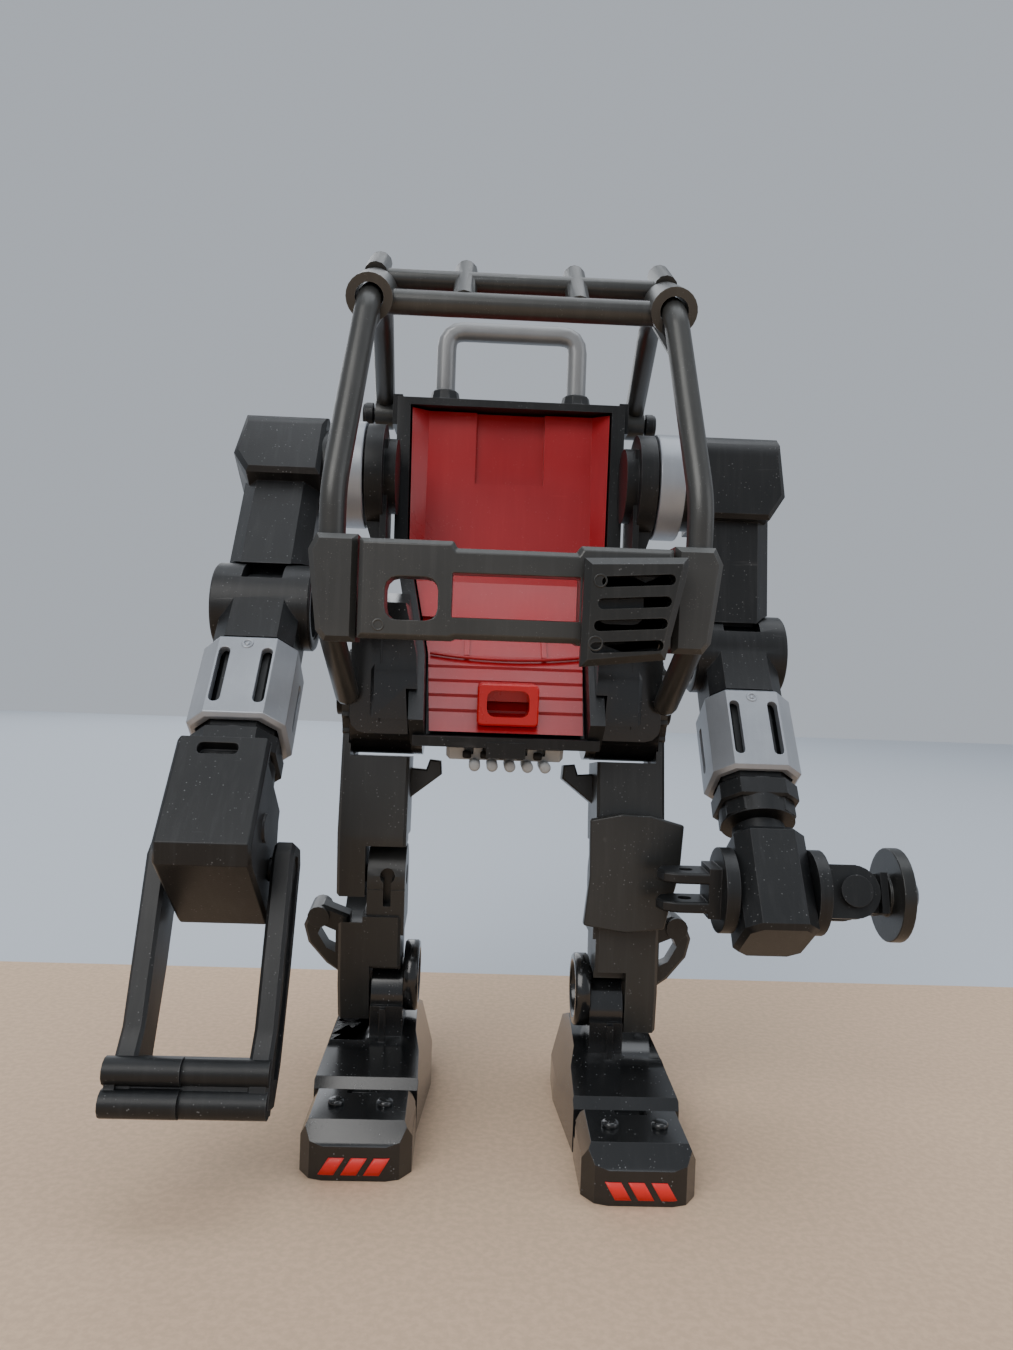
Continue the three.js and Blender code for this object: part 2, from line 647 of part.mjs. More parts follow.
function thigh() {
  const profile = [
    [-5.6, -4], [-7.2, -23.2], [-4.8, -34], [3, -34.4], [6, -30], [7, -20], [6.6, -4],
  ];
  const body = slab(profile, 11.6, "yz", 0.5);
  const barrelRoom = rod(9.6 + gap, 30, "x", -8, 0, 0, 32);
  const ear = rod(8.2, 1.2, "x", 5.2, 0, 0, 28);
  const teeth = Array.from({ length: 16 }, (_, i) => {
    const a = (i * Math.PI) / 8;
    return rod(0.6, 1.2, "x", 5.2, 8.1 * Math.cos(a), 8.1 * Math.sin(a), 6);
  });
  const kneeRoom = union(
    rod(5.6 + gap, 8, "x", -3, 0, -leg.thigh, 24),
    box(8, 30, 12, -3, 0, -leg.thigh - 6),
    box(8, 12, 10, -3, -6, -leg.thigh + 0.4),
    box(8, 12, 12, -3, 6, -leg.thigh + 1),
  );
  const hook = slab([[-5.6, -11], [-8.4, -11.2], [-9, -9.4], [-11, -9.6], [-11.2, -12], [-5.6, -16.4]], 4.4, "xz", 0.3);
  const aboveTop = box(11.2, 30, 20, -1.3, 0, 0);
  const low = cut(body, barrelRoom.intersect(box(10.5, 30, 30, -0.6, 0, 0)), aboveTop, kneeRoom);
  return cut(
    union(low, ear, ...teeth, moved(hook, 0, 3, -1)),
    rod(pinHole, 30, "x", 0, 0, 0),
    rod(pinHole, 30, "x", 0, 0, -leg.thigh),
    box(14, 30, 12, 0, 0, -42.6),
  );
}

function hipPin() {
  return union(rod(pinRadius, 11.4, "x", 1.1, 0, 0), rod(3, 1.2, "x", 6.9, 0, 0));
}

function shin() {
  const knuckle = union(
    rod(5.4, 6.4, "x", -2.6, 0, 0, 24),
    box(6.4, 10.4, 8, -2.6, -0.2, -5),
  );
  const profile = [[-6, -5.6], [-6.2, -18], [-5, -24.6], [4, -25.4], [6, -20], [6.4, -5.6]];
  const body = slab(profile, 10.6, "yz", 0.5);
  const kneeRoom = cut(rod(9, 8, "x", 5.2, 0, 0, 28), box(20, 2, 30, -8.8, 0, 0));
  const ankleRoom = union(
    rod(6.6, 6.6, "x", -3.4, 0, -leg.shin, 24),
    box(6.6, 30, 10, -3.4, 0, -leg.shin - 5),
    box(6.6, 10, 12, -3.4, -8.6, -leg.shin + 1),
  );
  const keyhole = union(
    rod(1.3, 6, "y", -2.8, -6, 1.4, 12),
    box(1.3, 6, 5, -2.8, -6, -1.4),
  );
  const handleOutline = [[4, -7.6], [8.6, -5.8], [10.8, -6.6], [12, -9.6], [11.2, -12.8], [8, -16.6], [4, -19.4]];
  const handleHole = [[6.4, -10.4], [8.8, -9.4], [9.5, -11], [8, -13.6], [6.4, -14.4]];
  const handle = cut(slab(handleOutline, 3.6, "xz", 0.5), slab(handleHole, 8, "xz"));
  const grip = rod(1.9, 6, "y", 9.4, 1.6, -7.8, 14);
  return cut(
    union(knuckle, cut(body, kneeRoom, ankleRoom), moved(handle, 0, 1, 0), grip),
    keyhole,
    rod(pinHole, 30, "x"),
    rod(pinHole, 30, "x", 0, 0, -leg.shin),
  );
}

function limbPin(length) {
  return rod(pinRadius, length, "x");
}

function kneeShield() {
  const outline = [
    [-7.2, 11.4], [-2, 12.6], [3, 12.4], [8.8, 10.8], [8.2, 3], [5.6, -6.4], [-1, -7], [-7.8, -6.2], [-7, 2],
  ];
  const curve = cut(rod(24, 40, "z", 0, 22.2, 0, 56), rod(22.2, 50, "z", 0, 22.2, 0, 56));
  const plate = slab(outline, 14, "xz").intersect(curve);
  return moved(union(plate, rod(1, 3.6, "y", -2.8, 0.7, 1.4, 12)), 0, -7.7, 0);
}

const foot = { x: -1.3, toe: -33.8, heel: 14, shellFront: -18.5, hingeY: -20.6, hingeZ: -12.4 };

function footShell() {
  const sole = -leg.ankle;
  const side = [
    [foot.shellFront, sole], [foot.heel, sole], [foot.heel - 0.6, -6.6], [8, -4.4], [-5, -5.4],
    [-8.4, -7.6], [foot.shellFront + 1.2, -8.6], [foot.shellFront, -10.2],
  ];
  const front = [[-10, sole], [10, sole], [9.6, -12.6], [6.6, -4], [-6.6, -4], [-9.6, -12.6]];
  const plan = [
    [-8.2, foot.shellFront - 1], [8.2, foot.shellFront - 1], [9.9, 0], [9.6, 9], [6.6, foot.heel],
    [-6.6, foot.heel], [-9.6, 9], [-9.9, 0],
  ];
  const body = moved(
    slab(side, 30, "yz").intersect(slab(front, 80, "xz")).intersect(slab(plan, 60, "xy")), foot.x, 0, 0,
  );
  const lug = union(
    rod(5.6, 5.6, "x", -3.2, 0, 0, 24),
    box(5.6, 10.4, 8, -3.2, -1, -5),
  );
  const rib = box(1, 1.6, 6.4, -2.6, -6.4, -4.4);
  const shinRoom = union(
    rod(9.6, 6.4, "x", 3.2, 0, 0, 24),
    box(7.4, 13, 4, 3.2, 0, -5.2),
  );
  const knuckleRoom = [-4.6, 4.6].map((x) => rod(2.9, 4.4, "x", x + foot.x, foot.hingeY, foot.hingeZ, 16));
  const hollow = box(13, 14, 3, 0, 2, sole);
  const centreLug = union(
    rod(2, 4.2, "x", foot.x, foot.hingeY, foot.hingeZ, 16),
    box(4.2, 4, 3.4, foot.x, foot.hingeY + 2, foot.hingeZ),
  );
  return cut(
    union(cut(body, shinRoom, ...knuckleRoom, hollow), lug, rib, centreLug),
    rod(pinHole, 30, "x"),
    rod(0.95 + 0.3, 30, "x", 0, foot.hingeY, foot.hingeZ, 14),
  );
}

function toeCap() {
  const sole = -leg.ankle - foot.hingeZ;
  const front = foot.toe - foot.hingeY;
  const side = [
    [1, sole], [1, -1.8], [0.4, 2.6], [-1, 3.6], [front + 2.4, 3.4], [front + 0.6, 0.9], [front, 0.4], [front, sole],
  ];
  const plan = [
    [-8.3, 2], [-8.3, front + 3], [-6.6, front + 0.6], [-4.6, front], [4.6, front], [6.6, front + 0.6],
    [8.3, front + 3], [8.3, 2],
  ];
  const face = [[-8.3, sole], [8.3, sole], [8.3, 0.8], [7, 3.6], [-7, 3.6], [-8.3, 0.8]];
  const body = slab(side, 30, "yz").intersect(slab(plan, 40, "xy")).intersect(slab(face, 60, "xz"));
  const shellRoom = box(30, 8, 20, 0, 4.4, 0);
  const knuckles = [-4.6, 4.6].map((x) => rod(2.5, 3.6, "x", x, 0, 0, 16));
  return cut(
    union(cut(body, shellRoom), ...knuckles),
    box(5, 7, 20, 0, 1.1, 0),
    rod(0.95 + 0.3, 30, "x", 0, 0, 0, 14),
  );
}

function toePin() {
  return rod(0.95, 14.4, "x", 0, 0, 0, 14);
}

// ---- assembly ----

const robot = new THREE.Group();
robot.name = "robot";

function buildTorso() {
  robot.add(piece("seat_frame", seatFrame(), black));
  robot.add(piece("seat_insert", seatInsert(), red));
  robot.add(piece("seat_socket", seatSocket(), red));
  robot.add(piece("back_shell", backShell(), black));
  robot.add(piece("underbody", underbody(), lightGrey));
  robot.add(piece("grab_handle", grabHandle(), handleGrey));
  screwPlaces.forEach((place, i) => robot.add(piece("back_screw_" + (i + 1), backScrew(place), steel)));
  for (const [word, side] of [["right", -1], ["left", 1]]) {
    robot.add(piece("hip_cover_" + word, mirrored(hipCover(), side), glossBlack));
    robot.add(piece("shoulder_bracket_" + word, mirrored(shoulderBracket(), side), black));
    const hip = new THREE.Group();
    hip.position.set(side * leg.x, leg.hipY, leg.hipZ);
    hip.add(piece("hip_pin_" + word, mirrored(hipPin(), side), black));
    robot.add(hip);
    const pin = union(
      rod(pinRadius, 8, "x", 24.9, cage.hingeY, cage.hingeZ),
      rod(2.5, 1.6, "x", 29, cage.hingeY, cage.hingeZ),
    );
    robot.add(piece("cage_pin_" + word, mirrored(pin, side), black));
  }
}

function buildCage() {
  const hinge = joint("cage_hinge", robot, 0, cage.hingeY, cage.hingeZ);
  const frame = new THREE.Group();
  frame.position.set(0, -cage.hingeY, -cage.hingeZ);
  hinge.add(frame);
  frame.add(piece("cage_side_right", mirrored(cageSide(), -1), gunmetal));
  frame.add(piece("cage_side_left", cageSide(), gunmetal));
  frame.add(piece("roof_rack", roofRack(), gunmetal));
  frame.add(piece("bumper", bumperBody(), gunmetal));
  frame.add(piece("grille_panel", grillePanel(), darkGrey));
}

function buildArm(word, side) {
  const pose = armPose[word];
  const top = joint("shoulder_" + word, robot, side * shoulder.armX, shoulder.y, shoulder.z, pose.swing);
  top.add(piece("shoulder_ring_" + word, mirrored(shoulderRing(), side), silver));
  top.add(piece("upper_arm_" + word, mirrored(upperArm(pose.step), side), black));
  const elbow = joint("elbow_" + word, top, side * pose.step, 0, -arm.upper, pose.bend);
  elbow.add(piece("elbow_pin_" + word, mirrored(elbowPin(), side), black));
  elbow.add(piece("forearm_" + word, mirrored(forearm(), side), black));
  elbow.add(piece("forearm_sleeve_" + word, mirrored(forearmSleeve(), side), silver));
  return joint("wrist_" + word, elbow, 0, 0, 0);
}

function buildGripper(wrist) {
  wrist.add(piece("gripper_cover", gripperCover(), black));
  const hinge = joint("gripper_jaw_hinge", wrist, 0, jawPivot.y + 2, jawPivot.z - 2, -jawSet);
  hinge.add(piece("gripper_jaw", gripperJaw(), black));
  hinge.add(piece("jaw_pin", jawPin(), black));
}

function buildTool(wrist) {
  wrist.add(piece("tool_head", toolHead(), black));
  const level = -(armPose.left.swing + armPose.left.bend);
  const turn = joint("tool_spindle_turn", wrist, 0, 0, tool.z, level);
  turn.add(piece("tool_fork", toolFork(), black));
  const outer = new THREE.Group();
  outer.rotation.x = (-18 * Math.PI) / 180;
  turn.add(outer);
  outer.add(piece("tool_spindle", toolSpindle(), black));
  const fold = joint("tool_bracket_fold", outer, tool.foldX, 0, 0);
  fold.add(piece("tool_bracket", toolBracket(), black));
  fold.add(piece("bracket_pin", bracketPin(), black));
  const roll = joint("roller_turn", fold, 0, 0, 0);
  roll.add(piece("roller_flange", rollerFlange(), darkGrey));
  roll.add(piece("roller_cap", rollerCap(), black));
}

function buildLeg(word, side) {
  const pose = legPose[word];
  const rad = Math.PI / 180;
  const drop = leg.hipZ - leg.ankle - leg.thigh * Math.cos(pose.swing * rad);
  const shinTilt = -pose.shinSide * (Math.acos(drop / leg.shin) / rad);
  const hip = joint("hip_" + word, robot, side * leg.x, leg.hipY, leg.hipZ, pose.swing);
  hip.add(piece("thigh_" + word, mirrored(thigh(), side), darkGrey));
  const knee = joint("knee_" + word, hip, 0, 0, -leg.thigh, shinTilt - pose.swing);
  knee.add(piece("knee_pin_" + word, limbPin(10.4), black));
  knee.add(piece("shin_" + word, mirrored(shin(), side), darkGrey));
  if (word === "left") knee.add(piece("knee_shield", kneeShield(), darkGrey));
  const ankle = joint("ankle_" + word, knee, 0, 0, -leg.shin, -shinTilt);
  ankle.add(piece("ankle_pin_" + word, limbPin(9.6), black));
  ankle.add(piece("foot_shell_" + word, mirrored(footShell(), side), glossBlack));
  const toe = joint("toe_" + word, ankle, side * foot.x, foot.hingeY, foot.hingeZ);
  toe.add(piece("toe_cap_" + word, mirrored(toeCap(), side), glossBlack));
  toe.add(piece("toe_pin_" + word, toePin(), black));
}

buildTorso();
buildCage();
buildGripper(buildArm("right", -1));
buildTool(buildArm("left", 1));
buildLeg("right", -1);
buildLeg("left", 1);

// The origin is the middle of the bounding box on the floor.
robot.updateMatrixWorld(true);
const bounds = new THREE.Box3().setFromObject(robot, true);
const middle = bounds.getCenter(new THREE.Vector3());
robot.position.set(-middle.x, -middle.y, -bounds.min.z);

export default robot;
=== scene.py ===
# Toy walking robot: finishes, edges and small fittings around its working frame.
import json
import math

import bmesh
import bpy
from mathutils import Matrix, Vector


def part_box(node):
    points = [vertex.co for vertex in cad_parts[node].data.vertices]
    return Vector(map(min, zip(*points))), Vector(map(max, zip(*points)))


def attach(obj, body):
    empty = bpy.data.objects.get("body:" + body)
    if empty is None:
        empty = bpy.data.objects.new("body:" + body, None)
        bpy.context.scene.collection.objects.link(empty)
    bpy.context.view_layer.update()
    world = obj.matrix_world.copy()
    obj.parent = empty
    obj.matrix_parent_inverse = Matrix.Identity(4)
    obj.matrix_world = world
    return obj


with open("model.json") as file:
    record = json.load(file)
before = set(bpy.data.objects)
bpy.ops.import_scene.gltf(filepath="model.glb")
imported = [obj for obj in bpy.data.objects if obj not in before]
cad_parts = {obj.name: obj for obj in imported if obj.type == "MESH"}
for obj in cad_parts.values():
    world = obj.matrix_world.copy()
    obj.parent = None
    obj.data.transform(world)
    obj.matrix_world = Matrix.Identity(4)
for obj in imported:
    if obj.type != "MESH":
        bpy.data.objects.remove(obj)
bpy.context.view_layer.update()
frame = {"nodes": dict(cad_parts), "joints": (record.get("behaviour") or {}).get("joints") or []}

mm = 0.001
nodes = frame["nodes"]
sideOf = {"right": -1, "left": 1}


# where the robot stands: seat centre line, hip line and floor

def middle(nodeName):
    low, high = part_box(nodeName)
    return (low + high) / 2


hipLine = -15.8 * mm  # the hips sit this far in front of the robot's own centre
centreX = middle("seat_insert").x
centreY = middle("hip_pin_right").y - hipLine


def at(x, y, z):
    # a point in millimetres from the robot's own centre on the floor
    return Vector((centreX + x * mm, centreY + y * mm, z * mm))


# camera and light

camera = {"x": -5.8, "y": -196, "z": 77.5, "yaw": 1.9, "pitch": -1.2, "roll": 2.08, "lens": 27.04}


def makeCamera():
    yaw = math.radians(camera["yaw"])
    pitch = math.radians(camera["pitch"])
    roll = math.radians(camera["roll"])
    ahead = Vector((math.sin(yaw) * math.cos(pitch), math.cos(yaw) * math.cos(pitch), math.sin(pitch)))
    level = Vector((math.cos(yaw), -math.sin(yaw), 0))
    upright = level.cross(ahead)
    right = math.cos(roll) * level + math.sin(roll) * upright
    up = math.cos(roll) * upright - math.sin(roll) * level
    data = bpy.data.cameras.new("camera")
    data.lens = camera["lens"]
    data.sensor_width = 36
    data.clip_start = 0.01
    turned = Matrix((right, up, -ahead)).transposed().to_4x4()
    spot = bpy.data.objects.new("camera", data)
    spot.matrix_world = Matrix.Translation(at(camera["x"], camera["y"], camera["z"])) @ turned
    bpy.context.scene.collection.objects.link(spot)
    bpy.context.scene.camera = spot


studio = {
    "air": (0.66, 0.71, 0.78), "airStrength": 0.7,
    "lamps": {
        "window": {"place": (-0.45, -0.75, 0.75), "size": 0.7, "power": 6.5, "tint": (1, 0.98, 0.95)},
        "ceiling": {"place": (0.1, 0.1, 1.0), "size": 0.9, "power": 5, "tint": (0.93, 0.96, 1)},
        "sideFill": {"place": (0.85, -0.35, 0.4), "size": 0.6, "power": 1.4, "tint": (0.95, 0.97, 1)},
        "backFill": {"place": (-0.3, 0.8, 0.5), "size": 0.7, "power": 2.2, "tint": (0.95, 0.97, 1)},
    },
}


def makeLights():
    world = bpy.data.worlds.new("air")
    world.use_nodes = True
    background = world.node_tree.nodes["Background"]
    background.inputs["Color"].default_value = (*studio["air"], 1)
    background.inputs["Strength"].default_value = studio["airStrength"]
    bpy.context.scene.world = world
    aim = at(0, 0, 70)
    for name, lamp in studio["lamps"].items():
        data = bpy.data.lights.new(name, "AREA")
        data.size = lamp["size"]
        data.energy = lamp["power"]
        data.color = lamp["tint"]
        light = bpy.data.objects.new(name, data)
        light.location = lamp["place"]
        light.rotation_euler = (aim - Vector(lamp["place"])).to_track_quat("-Z", "Y").to_euler()
        bpy.context.scene.collection.objects.link(light)


# finishes

def addNode(tree, kind, settings=None, **inputs):
    node = tree.nodes.new(kind)
    for key, value in (settings or {}).items():
        setattr(node, key, value)
    for key, value in inputs.items():
        node.inputs[key.replace("_", " ")].default_value = value
    return node


def noiseNode(tree, where, scale, detail=3.0, roughness=0.55):
    noise = addNode(tree, "ShaderNodeTexNoise", Scale=scale, Detail=detail, Roughness=roughness)
    tree.links.new(where, noise.inputs["Vector"])
    return noise.outputs["Fac"]


def rangeNode(tree, value, low, high, newLow=0.0, newHigh=1.0):
    node = addNode(tree, "ShaderNodeMapRange", {"clamp": True})
    tree.links.new(value, node.inputs["Value"])
    node.inputs["From Min"].default_value = low
    node.inputs["From Max"].default_value = high
    node.inputs["To Min"].default_value = newLow
    node.inputs["To Max"].default_value = newHigh
    return node.outputs["Result"]


def mathNode(tree, operation, first, second):
    node = addNode(tree, "ShaderNodeMath", {"operation": operation})
    for socket, value in zip(node.inputs, (first, second)):
        if isinstance(value, (int, float)):
            socket.default_value = value
        else:
            tree.links.new(value, socket)
    return node.outputs[0]


def blendNode(tree, amount, first, second):
    node = addNode(tree, "ShaderNodeMix", {"data_type": "RGBA"})
    tree.links.new(amount, node.inputs["Factor"])
    for socket, value in ((node.inputs[6], first), (node.inputs[7], second)):
        if isinstance(value, tuple):
            socket.default_value = (*value, 1)
        else:
            tree.links.new(value, socket)
    return node.outputs[2]


pattern = {
    "cloudRange": (0.3, 0.7), "flowRange": (0.5, 0.85), "shineRange": (0.25, 0.75),
    "dotFade": 0.4, "thinScale": 420, "thinRange": (0.5, 0.62),
    "scratchRange": (0.68, 0.76), "patchScale": 130, "patchRange": (0.52, 0.66),
    "edgeRange": (0.995, 0.9), "edgePatchScale": 260, "edgePatchRange": (0.42, 0.66),
    "scratchShine": 0.25, "fleckShine": 0.3, "waveScale": 240, "scratchDepth": 1.2,
}


def edgeWearAndHighlightMask(tree, where, look):
    # lighter edges, partly rubbed wear and partly a painted edge highlight: where a softened normal leaves
    # the true one
    soft = addNode(tree, "ShaderNodeBevel", {"samples": 4}, Radius=look["edgeWidth"] * mm)
    true = addNode(tree, "ShaderNodeNewGeometry")
    dot = addNode(tree, "ShaderNodeVectorMath", {"operation": "DOT_PRODUCT"})
    tree.links.new(soft.outputs["Normal"], dot.inputs[0])
    tree.links.new(true.outputs["Normal"], dot.inputs[1])
    edge = rangeNode(tree, dot.outputs["Value"], *pattern["edgeRange"])
    patches = noiseNode(tree, where, pattern["edgePatchScale"], 4)
    patchy = rangeNode(tree, patches, *pattern["edgePatchRange"])
    return mathNode(tree, "MULTIPLY", edge, patchy)


def makeFinish(name, look):
    material = bpy.data.materials.new(name)
    material.use_nodes = True
    tree = material.node_tree
    shader = tree.nodes["Principled BSDF"]
    where = addNode(tree, "ShaderNodeTexCoord").outputs["Object"]
    colour = look["colour"]
    darker = tuple(c * (1 - look["cloud"]) for c in colour)
    lighter = tuple(c * (1 + look["cloud"]) for c in colour)

    cloud = noiseNode(tree, where, look["cloudScale"], 5)
    base = blendNode(tree, rangeNode(tree, cloud, *pattern["cloudRange"]), darker, lighter)

    # flow lines of the moulding, long and faint
    stretch = addNode(tree, "ShaderNodeMapping")
    stretch.inputs["Scale"].default_value = look["flow"]
    tree.links.new(where, stretch.inputs["Vector"])
    streak = noiseNode(tree, stretch.outputs["Vector"], 1, 4, 0.6)
    flow = mathNode(tree, "MULTIPLY", rangeNode(tree, streak, *pattern["flowRange"]), look["streak"])
    base = blendNode(tree, flow, base, look["wearAndHighlightColour"])

    # flecks: pigment or dust specks
    cells = addNode(tree, "ShaderNodeTexVoronoi", Scale=look["fleckScale"])
    tree.links.new(where, cells.inputs["Vector"])
    middleSize = look["fleckSize"] * pattern["dotFade"]
    dots = rangeNode(tree, cells.outputs["Distance"], look["fleckSize"], middleSize)
    thin = rangeNode(tree, noiseNode(tree, where, pattern["thinScale"], 2), *pattern["thinRange"])
    fleck = mathNode(tree, "MULTIPLY", mathNode(tree, "MULTIPLY", dots, thin), look["fleck"])
    base = blendNode(tree, fleck, base, look["fleckColour"])

    # scratches at a slant, in patches
    slant = addNode(tree, "ShaderNodeMapping")
    slant.inputs["Rotation"].default_value = look["slant"]
    slant.inputs["Scale"].default_value = look["scratch"]
    tree.links.new(where, slant.inputs["Vector"])
    lines = rangeNode(tree, noiseNode(tree, slant.outputs["Vector"], 1, 2), *pattern["scratchRange"])
    patches = rangeNode(tree, noiseNode(tree, where, pattern["patchScale"], 2), *pattern["patchRange"])
    scuff = mathNode(tree, "MULTIPLY", mathNode(tree, "MULTIPLY", lines, patches), look["scuff"])
    base = blendNode(tree, scuff, base, look["wearAndHighlightColour"])

    # painted edge highlight mixed with rubbed wear: edges lightened towards the worn colour in patches
    edge = mathNode(tree, "MULTIPLY", edgeWearAndHighlightMask(tree, where, look), look["edge"])
    base = blendNode(tree, edge, base, look["wearAndHighlightColour"])
    tree.links.new(base, shader.inputs["Base Color"])

    smoother, rougher = look["roughness"] - look["patchy"], look["roughness"] + look["patchy"]
    shine = rangeNode(tree, cloud, *pattern["shineRange"], smoother, rougher)
    rubbed = mathNode(tree, "ADD", shine, mathNode(tree, "MULTIPLY", scuff, pattern["scratchShine"]))
    dulled = mathNode(tree, "ADD", rubbed, mathNode(tree, "MULTIPLY", fleck, pattern["fleckShine"]))
    tree.links.new(dulled, shader.inputs["Roughness"])

    grain = noiseNode(tree, where, look["grainScale"], 3, 0.6)
    waves = noiseNode(tree, where, pattern["waveScale"], 2)
    height = mathNode(tree, "ADD", grain, mathNode(tree, "MULTIPLY", waves, look["ripple"]))
    scratches = mathNode(tree, "MULTIPLY", scuff, pattern["scratchDepth"])
    scored = mathNode(tree, "SUBTRACT", height, scratches)
    bump = addNode(tree, "ShaderNodeBump", Strength=look["grain"], Distance=look["bumpDepth"] * mm)
    tree.links.new(scored, bump.inputs["Height"])
    tree.links.new(bump.outputs["Normal"], shader.inputs["Normal"])

    shader.inputs["Metallic"].default_value = look["metallic"]
    shader.inputs["Coat Weight"].default_value = look["coat"]
    shader.inputs["Coat Roughness"].default_value = look["coatRoughness"]
    shader.inputs["Specular IOR Level"].default_value = look["specular"]
    return material


plainLook = {
    "cloudScale": 70, "flow": (900, 240, 60), "metallic": 0, "coat": 0, "coatRoughness": 0.15,
    "specular": 0.5,
    "slant": (0.4, 0.9, 0.6), "scratch": (70, 2600, 420), "bumpDepth": 0.05,
    "cloud": 0.1, "streak": 0.1, "fleck": 0.4, "fleckScale": 1500, "fleckSize": 0.2, "scuff": 0.4,
    "edge": 0.3, "edgeWidth": 0.3, "patchy": 0.06, "grainScale": 3200, "grain": 0.28, "ripple": 0.7,
    "fleckColour": (0.3, 0.31, 0.32), "wearAndHighlightColour": (0.12, 0.12, 0.125),
}

looks = {
    "blackPlastic": {"colour": (0.0095, 0.0105, 0.0115), "roughness": 0.4, "specular": 0.36},
    "glossBlack": {
        "colour": (0.0085, 0.009, 0.0095), "roughness": 0.2, "coat": 0.35, "grain": 0.1, "scuff": 0.35,
        "fleck": 0.55, "edge": 0.3, "wearAndHighlightColour": (0.07, 0.07, 0.075),
    },
    "legGrey": {
        "colour": (0.024, 0.0245, 0.0235), "roughness": 0.36, "streak": 0.12, "scuff": 0.5, "grain": 0.2,
        "wearAndHighlightColour": (0.11, 0.11, 0.105),
    },
    "gunmetal": {
        "colour": (0.058, 0.059, 0.057), "roughness": 0.34, "metallic": 0.45, "streak": 0.08, "grain": 0.22,
        "fleck": 0.3, "fleckScale": 2600, "wearAndHighlightColour": (0.25, 0.25, 0.245),
        "fleckColour": (0.42, 0.42, 0.41),
    },
    "grilleBlack": {
        "colour": (0.017, 0.018, 0.0175), "roughness": 0.34, "metallic": 0.15,
        "wearAndHighlightColour": (0.15, 0.15, 0.145),
    },
    "handleGrey": {
        "colour": (0.24, 0.245, 0.25), "roughness": 0.36, "metallic": 0.35, "streak": 0.12,
        "wearAndHighlightColour": (0.3, 0.3, 0.31),
    },
    "silver": {
        "colour": (0.33, 0.355, 0.39), "roughness": 0.36, "metallic": 0.4, "streak": 0.15, "fleck": 0.25,
        "fleckScale": 3000, "edge": 0.35, "wearAndHighlightColour": (0.6, 0.63, 0.68), "fleckColour": (0.7, 0.72, 0.76),
    },
    "seatRed": {
        "colour": (0.43, 0.006, 0.012), "roughness": 0.33, "coat": 0.12, "cloud": 0.07, "streak": 0.12,
        "edge": 0.35, "scuff": 0.3, "fleck": 0.2, "grain": 0.16, "wearAndHighlightColour": (0.72, 0.06, 0.06),
        "fleckColour": (0.75, 0.3, 0.3),
    },
    "brightRed": {
        "colour": (0.72, 0.013, 0.015), "roughness": 0.27, "coat": 0.2, "cloud": 0.05, "edge": 0.3,
        "scuff": 0.2, "fleck": 0.15, "grain": 0.12, "wearAndHighlightColour": (0.85, 0.1, 0.09),
        "fleckColour": (0.8, 0.4, 0.4),
    },
    "stripeRed": {
        "colour": (0.72, 0.022, 0.018), "roughness": 0.38, "cloud": 0.08, "scuff": 0.8, "grain": 0.3,
        "edge": 0.2, "wearAndHighlightColour": (0.2, 0.02, 0.02), "fleckColour": (0.6, 0.2, 0.2),
    },
    "lightGrey": {
        "colour": (0.4, 0.42, 0.43), "roughness": 0.4, "cloud": 0.06, "wearAndHighlightColour": (0.6, 0.61, 0.62),
        "fleckColour": (0.2, 0.2, 0.2),
    },
    # near-black finish for painted shade: stands in for the shade inside holes and slots
    "paintedHoleShade": {"colour": (0.004, 0.004, 0.004), "roughness": 0.7},
    "zinc": {
        "colour": (0.5, 0.51, 0.53), "roughness": 0.32, "metallic": 1.0, "streak": 0.4,
        "wearAndHighlightColour": (0.7, 0.7, 0.7), "fleckColour": (0.3, 0.28, 0.25),
    },
}

finishes = {name: makeFinish(name, {**plainLook, **look}) for name, look in looks.items()}
print("finishes made:", len(finishes))


# the working frame's own parts: soft edges and their finish

def smoothingGroup(limitDegrees):
    # shades a mesh smooth, and leaves every edge sharper than the limit crisp
    group = bpy.data.node_groups.new("softShade", "GeometryNodeTree")
    group.interface.new_socket("Geometry", in_out="INPUT", socket_type="NodeSocketGeometry")
    group.interface.new_socket("Geometry", in_out="OUTPUT", socket_type="NodeSocketGeometry")
    source = group.nodes.new("NodeGroupInput")
    result = group.nodes.new("NodeGroupOutput")
    faces = group.nodes.new("GeometryNodeSetShadeSmooth")
    edges = group.nodes.new("GeometryNodeSetShadeSmooth")
    edges.domain = "EDGE"
    angle = group.nodes.new("GeometryNodeInputMeshEdgeAngle")
    compare = group.nodes.new("FunctionNodeCompare")
    compare.operation = "LESS_THAN"
    compare.inputs[1].default_value = math.radians(limitDegrees)
    group.links.new(source.outputs[0], faces.inputs["Geometry"])
    group.links.new(faces.outputs[0], edges.inputs["Geometry"])
    group.links.new(angle.outputs["Unsigned Angle"], compare.inputs[0])
    group.links.new(compare.outputs[0], edges.inputs["Shade Smooth"])
    group.links.new(edges.outputs[0], result.inputs[0])
    return group


